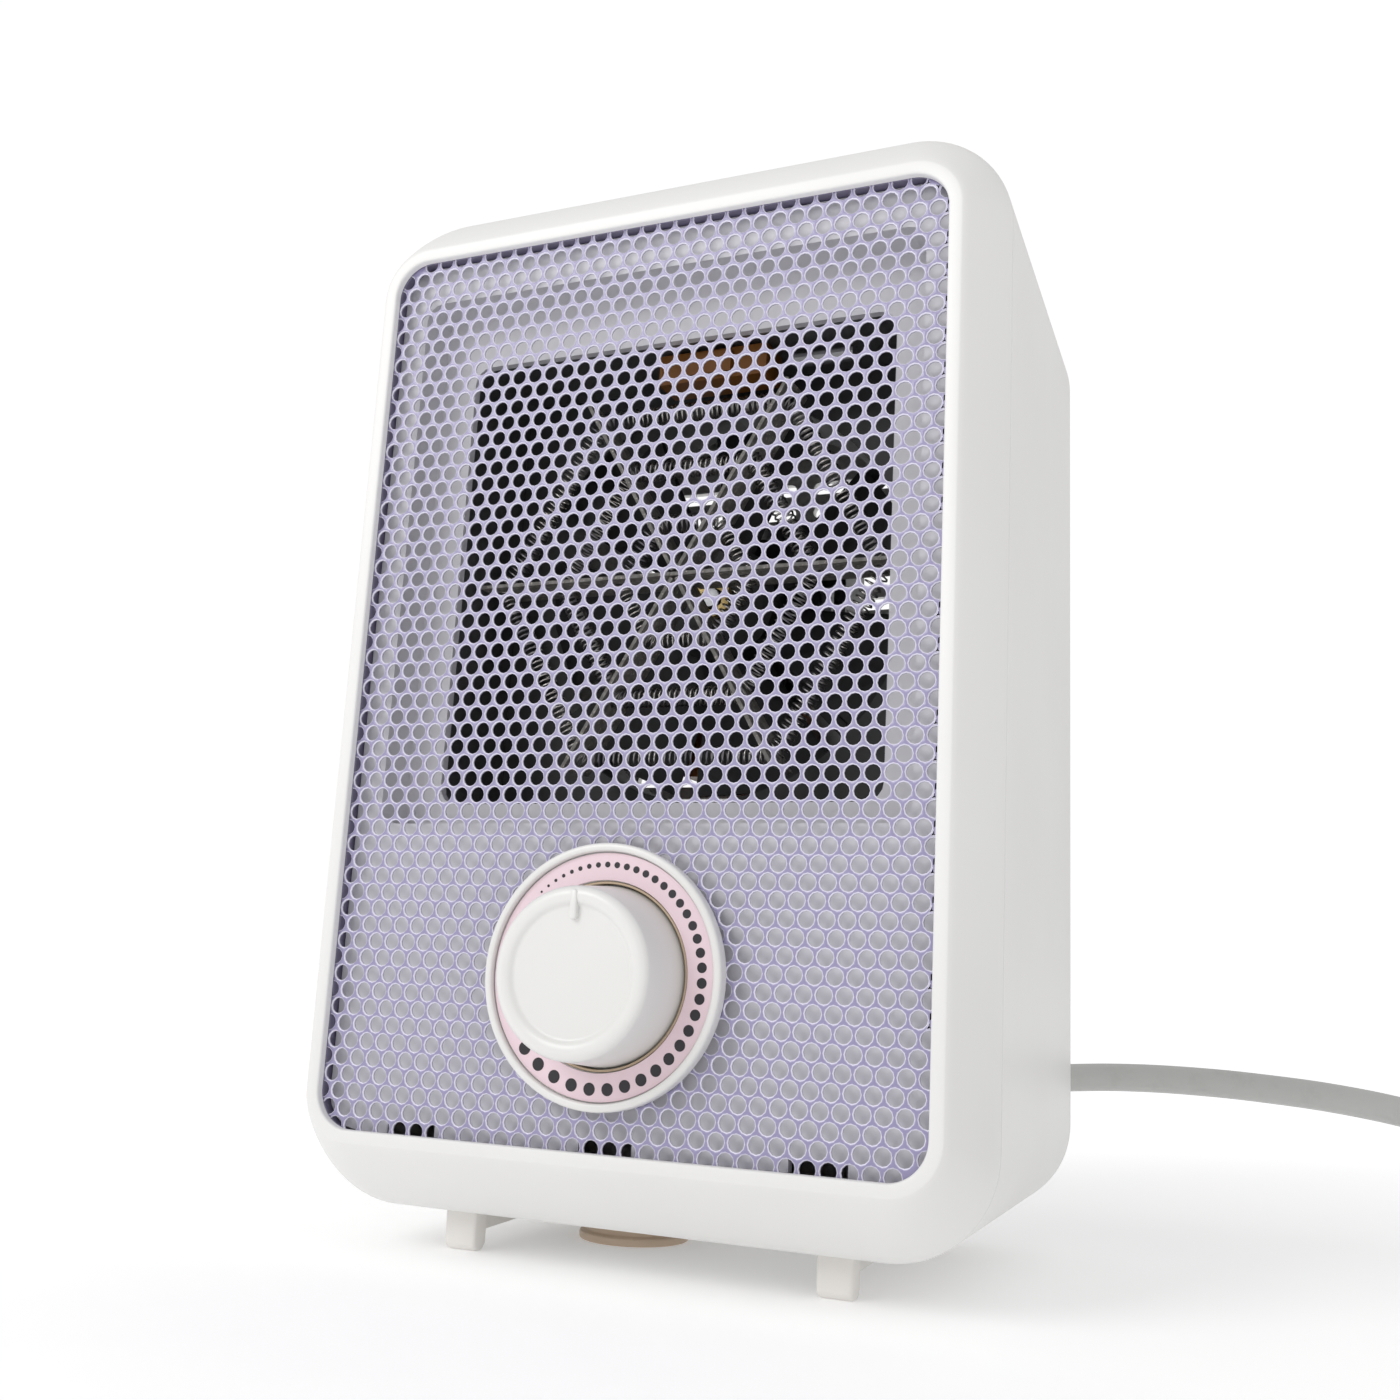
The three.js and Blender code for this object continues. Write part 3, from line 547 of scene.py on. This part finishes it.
def rearShell():
    front, back, edge = casing["seamY"] + 0.3, casing["rearY"], casing["rearEdge"]
    start = casingOutline(0, 0, front, upright=False)
    end = casingOutline(1 - edge / (back - casing["seamY"]), 0, back - edge)
    outlines = [casingOutline(0, 0.3, front, upright=False), between(start, end, 0.004)]
    outlines += [between(start, end, share) for share in (0.02, 0.35, 0.7, 1)]
    for k in range(1, 7):
        angle = k * math.pi / 12
        outlines.append(casingOutline(1, edge * (1 - math.cos(angle)), back - edge + edge * math.sin(angle)))
    inside = casingOutline(1, casing["wall"] + 0.4, back - casing["wall"])
    mouth = casingOutline(0, casing["wall"], front, upright=False)
    points, faces = lofted(outlines[::-1])
    faces.pop()
    shellPoints, shellFaces = lofted([inside, mouth])
    shellFaces.pop()
    points, faces = merged((points, faces), (shellPoints, shellFaces))
    ring = len(start)
    outer = list(range(len(outlines) * ring - ring, len(outlines) * ring))
    inner = list(range(len(points) - ring, len(points)))
    faces += stitched([(outer, inner)])
    made = piece("rearShell", points, faces, "casing", "casing", stands=("rear_casing",))
    tube = casing["screwTube"]
    tubes = [rod(tube["outer"], tube["from"], back - 1.5 - z * math.tan(lean), x, z)
             for x, z in casing["screws"]]
    combined(made, merged(*tubes), "UNION")
    wells = [rod(tube["well"], tube["wellFrom"], back + 10, x, z) for x, z in casing["screws"]]
    bores = [rod(tube["bore"], 20, tube["wellFrom"], x, z) for x, z in casing["screws"]]
    slots = []
    slot = casing["slot"]
    for row in range(slot["rows"]):
        z = slot["middle"] + (row - (slot["rows"] - 1) / 2) * slot["pitch"]
        for side in (-1, 1):
            sizes = {"half": slot["half"], "top": slot["height"] / 2, "bottom": -slot["height"] / 2,
                     "radius": slot["radius"]}
            ends = [roundedOutline(**sizes, y=y, steps=5) for y in (92, 110)]
            for outline in ends:
                for point in outline:
                    point.x += side * slot["side"]
                    point.z += z
            slots.append(lofted(ends))
    combined(made, merged(*wells, *bores, *slots), "DIFFERENCE")
    hole = casing["cordHole"]
    cordWay = rod(hole["radius"], 50, 70, hole["x"], hole["z"], 48)
    baseWays = [upright([(0, 4), (r, 4), (r, 20), (0, 20)], x, y, 40) for r, x, y in casing["baseHoles"]]
    combined(made, merged(cordWay, *baseWays), "DIFFERENCE", inFace=False)
    return settle(made, "casing", crease=32)


frontFrame()
rearShell()

print("perforated sheet")

sheet = {
    "half": 67.6, "top": 102.4, "bottom": -96, "radius": 9, "thick": 0.6, "flange": 4,
    "pitch": 4.0, "stretch": 1.009, "shift": -1.5, "hole": 1.65, "lip": 0.21, "lipDepth": 0.18,
    "clearOfDial": 23.3,
    "held": {"half": 67.2, "top": 102, "bottom": -95.6, "radius": 8.6},
    "lastHole": -0.8, "lastBlank": 1.2,  # how far past that outline a hole or a plain cell may stand
}
dialAt = (-0.5, -60.6)


# How far a point lies beyond the sheet's rounded outline, and the nearest point within it.
def beyond(x, z):
    limit = sheet["held"]
    reach = limit["half"] - limit["radius"]
    coreX = min(max(x, -reach), reach)
    coreZ = min(max(z, limit["bottom"] + limit["radius"]), limit["top"] - limit["radius"])
    out = math.hypot(x - coreX, z - coreZ)
    share = min(1, limit["radius"] / max(out, 0.001))
    return out - limit["radius"], (coreX + (x - coreX) * share, coreZ + (z - coreZ) * share)


# One six-sided cell of the sheet with its hole: front face, rounded lip, wall and back face.
def cell(x, z):
    reach = sheet["pitch"] / 2
    rings = [(None, 0), (sheet["hole"] + sheet["lip"], 0), (sheet["hole"], sheet["lipDepth"]),
             (sheet["hole"], sheet["thick"]), (None, sheet["thick"])]
    points = []
    for radius, y in rings:
        for k in range(12):
            angle = math.radians(30 * k)
            r = radius or (reach if k % 2 == 0 else reach / math.cos(math.radians(30)))
            across = r * math.cos(angle) * (1 if radius else sheet["stretch"])
            points.append((x + across, y, z + r * math.sin(angle)))
    order = [list(range(12 * k, 12 * k + 12)) for k in range(5)]
    return points, stitched(list(zip(order, order[1:])))


# A cell at the sheet's border, without a hole and kept within the outline.
def blank(x, z):
    corner = sheet["pitch"] / 2 / math.cos(math.radians(30))
    outline = []
    for k in range(6):
        angle = math.radians(30 + 60 * k)
        across = corner * math.cos(angle) * sheet["stretch"]
        outline.append(beyond(x + across, z + corner * math.sin(angle))[1])
    points = [(a, y, b) for y in (0, sheet["thick"]) for a, b in outline]
    return points, [list(range(6)), list(range(11, 5, -1))]


def perforatedSheet():
    cells = []
    rowPitch = sheet["pitch"] * math.cos(math.radians(30))
    for n in range(-28, 30):
        z = n * rowPitch
        for k in range(-17, 18):
            x = sheet["shift"] + sheet["pitch"] * sheet["stretch"] * (k + (0.5 if n % 2 == 0 else 0))
            out = beyond(x, z)[0]
            onDial = math.hypot(x - dialAt[0], z - dialAt[1]) < sheet["clearOfDial"]
            if not onDial and out <= sheet["lastBlank"]:
                cells.append(cell(x, z) if out < sheet["lastHole"] else blank(x, z))
    size = {key: sheet[key] for key in ("half", "top", "bottom", "radius")}
    inner = {"half": 65.95, "top": 100.85, "bottom": -94.45, "radius": 8.1}
    edge = ((0.25, 0.1), (0, 0.35), (0, 4), (1, 4), (1, 0.5))
    flange = [roundedOutline(**size, y=y, inset=inset) for inset, y in edge]
    flange += [roundedOutline(**inner, y=y) for y in (0.5, 0.1)]
    points, faces = merged(*cells, lofted(flange, loops=True))
    print("cells", len(cells))
    return piece("perforatedSheet", points, faces, "mesh", "mesh", crease=50, stands=("mesh_panel",))


perforatedSheet()

print("dial")

dial = {
    "ring": [(18.5, 2.7), (20.9, 2.7), (20.9, -0.3), (26, -0.3, 0.3), (26, -3.3, 1.1), (24.3, -3.3, 0.6),
             (24.3, -1.6), (18.5, -1.6, 0.2)],
    "disc": [(18.65, -1.9), (24.05, -1.9), (24.05, -2.2, 0.08), (18.65, -2.2, 0.08)],
    # A tan sleeve where the gap round the knob lies in shadow: painted shade, not a part of its own.
    "liner": [(17.95, 1.2), (18.42, 1.2), (18.42, -1.75, 0.1), (17.95, -1.75, 0.1)],
    "floor": [(6.2, 1.3), (19, 1.3), (19, 2.7), (6.2, 2.7)],
    "knob": [(0, -14.25), (12.5, -14.35, 0.4), (13.4, -15.15, 0.7), (15.1, -15.4, 1.1), (16.45, -14.5, 1.4),
             (17.7, 0.6, 0.5), (16.1, 0.6, 0.3), (14.9, -12.4, 0.5), (5.6, -12.4), (5.6, 0.2), (3.3, 0.2),
             (3.3, -10.5), (0, -10.5)],
    "dots": {"count": 37, "track": 21.7, "angle": (-42.3, 5.09, 0.0124, 0.0015),
             "radius": (0.25, 0.0455, -0.00045)},
    "pointer": {"from": 9.9, "to": 15.7, "half": 0.76, "front": -15.5, "back": -14.0},
}


# The dots grow, and stand further apart, as the dial is turned up.
def dialDots():
    dots = dial["dots"]
    shapes = []
    for k in range(dots["count"]):
        angle = math.radians(sum(part * k ** power for power, part in enumerate(dots["angle"])))
        radius = sum(part * k ** power for power, part in enumerate(dots["radius"]))
        x = dialAt[0] + dots["track"] * math.sin(angle)
        z = dialAt[1] + dots["track"] * math.cos(angle)
        shapes.append(turned([(0, -2.24), (radius, -2.24), (radius, -2.12), (0, -2.12)], x, z, 24))
    return merged(*shapes)


# The pointer: a slim raised bar with rounded ends on the knob's face.
def pointer():
    size = dial["pointer"]
    half = size["half"]
    outline = []
    for end, start in ((size["to"] - half, 0), (size["from"] + half, 180)):
        for k in range(9):
            angle = math.radians(start + 180 * k / 8)
            outline.append((half * math.cos(angle), end + half * math.sin(angle)))
    rings = []
    front = size["front"]
    for inset, y in ((0.25, front), (0.08, front + 0.08), (0, front + 0.25), (0, size["back"])):
        ring = []
        for x, z in outline:
            middle = min(max(z, size["from"] + half), size["to"] - half)
            pull = (half - inset) / half
            ring.append((dialAt[0] + x * pull, y, dialAt[1] + middle + (z - middle) * pull))
        rings.append(ring)
    return lofted(rings)


def dialPieces():
    ring = softened(dial["ring"])
    parts = merged(turned(ring, *dialAt, closed=True), turned(softened(dial["floor"]), *dialAt, closed=True))
    piece("dialRing", *parts, "dialWhite", "dial_white", stands=("dial_ring",))
    piece("dialFace", *turned(softened(dial["disc"]), *dialAt, closed=True), "pink", "dial_print",
          stands=("dial_disc",))
    piece("dialDots", *dialDots(), "ink", "dial_print")
    # The tan sleeve in the gap round the knob is painted shade standing in for the shadowed gap.
    piece("dialGapShade", *turned(softened(dial["liner"]), *dialAt, closed=True), "tan", "dial_print")
    knob = softened(dial["knob"], closed=False)
    piece("dialKnob", *turned(knob, *dialAt), "dialWhite", "dial_white", body="dial", stands=("dial_knob",))
    piece("knobPointer", *pointer(), "dialWhite", "dial_white", body="dial", crease=45)


dialPieces()

print("heating element")

element = {"rings": {"inner": 13.5, "middle": 26.5, "outer": 40}, "depth": 25, "helix": 2.05,
           "wire": 0.45, "pitch": 1.25, "perTurn": 10, "corner": 3.0}
blowerAt = (0, 27.25)


# Where a coil's middle line is, and which way it faces outwards, at a distance along its six-sided ring.
def ringPlace(apothem, travelled):
    side = 2 * apothem * math.tan(math.radians(30))
    along = travelled % side - side / 2
    square = 90 - 60 * (int(travelled // side) % 6)
    base = math.radians(square)
    x = apothem * math.cos(base) + along * math.sin(base)
    z = apothem * math.sin(base) - along * math.cos(base)
    corner, toEnd = element["corner"], side / 2 - abs(along)
    swing = math.copysign(30 * (1 - toEnd / corner), along) if toEnd < corner else 0
    outward = math.radians(square - swing)
    return x, z, math.cos(outward), math.sin(outward)


def coiledRing(name, apothem):
    length = 12 * apothem * math.tan(math.radians(30))
    turns = round(length / element["pitch"])
    count = turns * element["perTurn"]
    points = []
    for k in range(count):
        x, z, outX, outZ = ringPlace(apothem, length * k / count)
        angle = 2 * math.pi * k / element["perTurn"]
        reach, depth = element["helix"] * math.cos(angle), element["helix"] * math.sin(angle)
        points.append((blowerAt[0] + x + outX * reach, element["depth"] + depth,
                       blowerAt[1] + z + outZ * reach))
    curve = bpy.data.curves.new(name, "CURVE")
    curve.dimensions = "3D"
    curve.bevel_depth = element["wire"] / 2000
    curve.bevel_resolution = 1
    spline = curve.splines.new("POLY")
    spline.points.add(len(points) - 1)
    for knot, point in zip(spline.points, points):
        knot.co = (*(metres @ faceMatrix @ Vector(point)), 1)
    spline.use_cyclic_u = True
    spline.use_smooth = True
    made = bpy.data.objects.new(name, curve)
    scene.collection.objects.link(made)
    return settle(made, "element", stands=("element_" + name[4:].lower(),))


for ringName, apothem in element["rings"].items():
    coiledRing("coil" + ringName.capitalize(), apothem)

print("feet, pad and cord fittings")

foot = {"x": 42, "half": 3.75, "web": 1.2, "top": 8.7, "front": -25.5, "depth": 5, "chamfer": 1.2,
        "step": 64.5, "pegs": (-23, 42)}


def block(outline, x0, x1):
    count = len(outline)
    points = [(x, y, z) for x in (x0, x1) for y, z in outline]
    faces = stitched([(list(range(count)), list(range(count, 2 * count)))])
    return points, faces + [list(range(count)), list(range(2 * count - 1, count - 1, -1))]


def footPiece(side):
    x, front, top = side * foot["x"], foot["front"], foot["top"]
    name = "footRight" if side > 0 else "footLeft"
    back, cut = front + foot["depth"], foot["chamfer"]
    post = [(front, top), (front, cut), (front + cut, 0), (back - cut, 0), (back, cut), (back, top)]
    web = [(front + 3.5, top - 0.05), (front + 3.5, 3.3), (41, 5.8), (41, top - 0.05)]
    posts = [block([(y + shift, z) for y, z in post], x - foot["half"], x + foot["half"])
             for shift in (0, foot["step"])]
    made = piece(name, *merged(*posts), "foot", "foot", inFace=False,
                 stands=("foot_right" if side > 0 else "foot_left",))
    rounded(made, 0.7, 4)
    combined(made, block(web, x - foot["web"], x + foot["web"]), "UNION", inFace=False)
    peg = [(0, top - 2), (2.4, top - 2), (2.4, 13.6), (2.0, 14), (0, 14)]
    pegs = [upright(peg, x, y, 32) for y in foot["pegs"]]
    combined(made, merged(*pegs), "UNION", inFace=False)
    return settle(made, "foot")


footPiece(-1)
footPiece(1)

pad = {"x": -19, "y": 12, "profile": [
    (0, 0), (12.5, 0, 0.5), (12.5, 1.7, 0.5), (10.7, 1.9, 0.2), (10.6, 4.6, 0.4), (4.6, 4.9), (4.6, 12, 0.3),
    (3, 12), (3, 27, 0.4), (0, 27)]}
padPoints, padFaces = turned(softened(pad["profile"], closed=False), 0, 0, 72)
padPoints = [(pad["x"] + p[0], pad["y"] + p[2], p[1]) for p in padPoints]
piece("tipPad", padPoints, padFaces, "pad", "pad", body="tip_pad", inFace=False, stands=("tip_plunger",))

gland = {"x": 46, "z": 35, "ribs": 4}


def cordGland():
    profile = [(3.62, 52), (4.9, 52), (4.9, 59.9), (7.8, 59.9), (7.8, 62, 0.5), (6.6, 62.8, 0.3)]
    for k in range(gland["ribs"]):
        y, r = 64 + k * 4, 6.3 - k * 0.4
        profile += [(r, y, 0.3), (r, y + 2, 0.4), (r - 1, y + 2.5, 0.3), (r - 1, y + 3.5, 0.3)]
    profile += [(4.6, 80.4, 0.3), (4.1, 81.8, 0.3), (3.62, 81.8)]
    return turned(softened(profile), gland["x"], gland["z"], 48, closed=True)


glandPiece = piece("cordGland", *cordGland(), "lead", "lead", inFace=False, stands=("strain_relief",))

plug = {"x": 261.8, "z": 8, "stations": [
    (30.3, 4.4, 4.4), (29.8, 4.7, 4.7), (24, 5.0, 4.9), (17, 5.6, 5.4), (14, 7.2, 6.2), (12, 9.5, 7.0),
    (9, 11.4, 7.6), (5, 12, 7.8), (-6, 12, 7.8), (-9, 12, 7.8), (-10, 12.6, 7.9), (-12.5, 13, 7.9),
    (-13.6, 12.8, 7.7), (-14, 12.3, 7.3)]}


def plugShape():
    outlines = []
    for y, half, height in plug["stations"]:
        outline = roundedOutline(half, height, -height, min(half, height) * 0.8, y, steps=10)
        outlines.append([p + Vector((plug["x"], 0, plug["z"])) for p in outline])
    return lofted(outlines)


plugPiece = piece("plugBody", *plugShape(), "lead", "lead", inFace=False, crease=55, stands=("plug_body",))

settle(powerCord, "lead", stands=("cord", "cord_coil", "cord_tail"))

print("finishes of the plain pieces")

plain = {
    "panel": ("duct_panel", "tip_guide", "terminal_block", "cord_clamp"),
    "duct": ("heater_duct", "thermal_fuse"),
    "mica": ("mica_board_level", "mica_board_rising", "mica_board_falling"),
    "phenolic": ("thermal_cutout", "thermostat_body"),
    "fan": ("fan_shroud", "fan_impeller", "tip_switch"),
    "steel": ("motor_shaft", "motor_rotor", "motor_front_bracket", "motor_rear_bracket", "thermostat_shaft",
              "tip_spring", "casing_screw_1", "casing_screw_2", "casing_screw_3", "casing_screw_4"),
    "laminations": ("motor_stator",),
    "winding": ("motor_winding",),
    "brass": ("fan_nut", "thermostat_nut", "plug_pin_left", "plug_pin_right"),
    "pad": ("tip_switch_button",),
    "lead": ("cord_lead",),
    "tie": ("cord_tie",),
    "red": ("wire_live", "wire_element"),
    "white": ("wire_neutral",),
}
for finishName, nodes in plain.items():
    for node in nodes:
        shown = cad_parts[node]
        shown.data.materials.clear()
        shown.data.materials.append(finishes[finishName])

print("floor and lights")

studio = {
    "surround": 0.72,
    "backdrop": 1.02,
    "glow": {"near": 0.2, "far": 0.38, "from": 0.12, "to": 0.42},
    "lamps": [
        {"name": "key", "place": (-0.75, -1.3, 0.95), "size": 0.9, "power": 9.4},
    ],
    "aim": (0, 0, 0.11),
}


# Paper that glows a little more further out, where less of the lamp reaches it.
def floorFinish():
    glow = studio["glow"]
    finish = Finish("floorPaper", Roughness=0.9, SpecularIORLevel=0.2, EmissionStrength=glow["far"])
    fibres = finish.noise(60, 5, 0.6)
    distance = finish.node("ShaderNodeVectorMath", {"operation": "LENGTH"}, {0: finish.place}, output="Value")
    outwards = finish.ramp(distance, (glow["from"], glow["near"] / glow["far"]), (glow["to"], 1))
    finish.set(BaseColor=finish.mixed(fibres, (0.93, 0.93, 0.93), (0.90, 0.90, 0.905)))
    finish.set(EmissionColor=outwards)
    return finish.material


def studioFloor():
    mesh = bpy.data.meshes.new("floor")
    mesh.from_pydata([(-6, -6, 0), (6, -6, 0), (6, 6, 0), (-6, 6, 0)], [], [(0, 1, 2, 3)])
    mesh.materials.append(floorFinish())
    floor = bpy.data.objects.new("floor", mesh)
    scene.collection.objects.link(floor)


def studioLights():
    world = scene.world or bpy.data.worlds.new("studio")
    scene.world = world
    world.use_nodes = True
    tree = world.node_tree
    sky = tree.nodes["Background"]
    sky.inputs["Color"].default_value = (1, 1, 1, 1)
    seen = Value(tree, tree.nodes.new("ShaderNodeLightPath").outputs["Is Camera Ray"])
    strength = studio["surround"] + (studio["backdrop"] - studio["surround"]) * seen
    tree.links.new(strength.socket, sky.inputs["Strength"])
    for lamp in studio["lamps"]:
        light = bpy.data.lights.new(lamp["name"], "AREA")
        light.shape = "DISK"
        light.size = lamp["size"]
        light.energy = lamp["power"]
        placed = bpy.data.objects.new(lamp["name"], light)
        placed.location = lamp["place"]
        backwards = Vector(lamp["place"]) - Vector(studio["aim"])
        placed.rotation_euler = backwards.to_track_quat("Z", "Y").to_euler()
        scene.collection.objects.link(placed)


studioFloor()
studioLights()
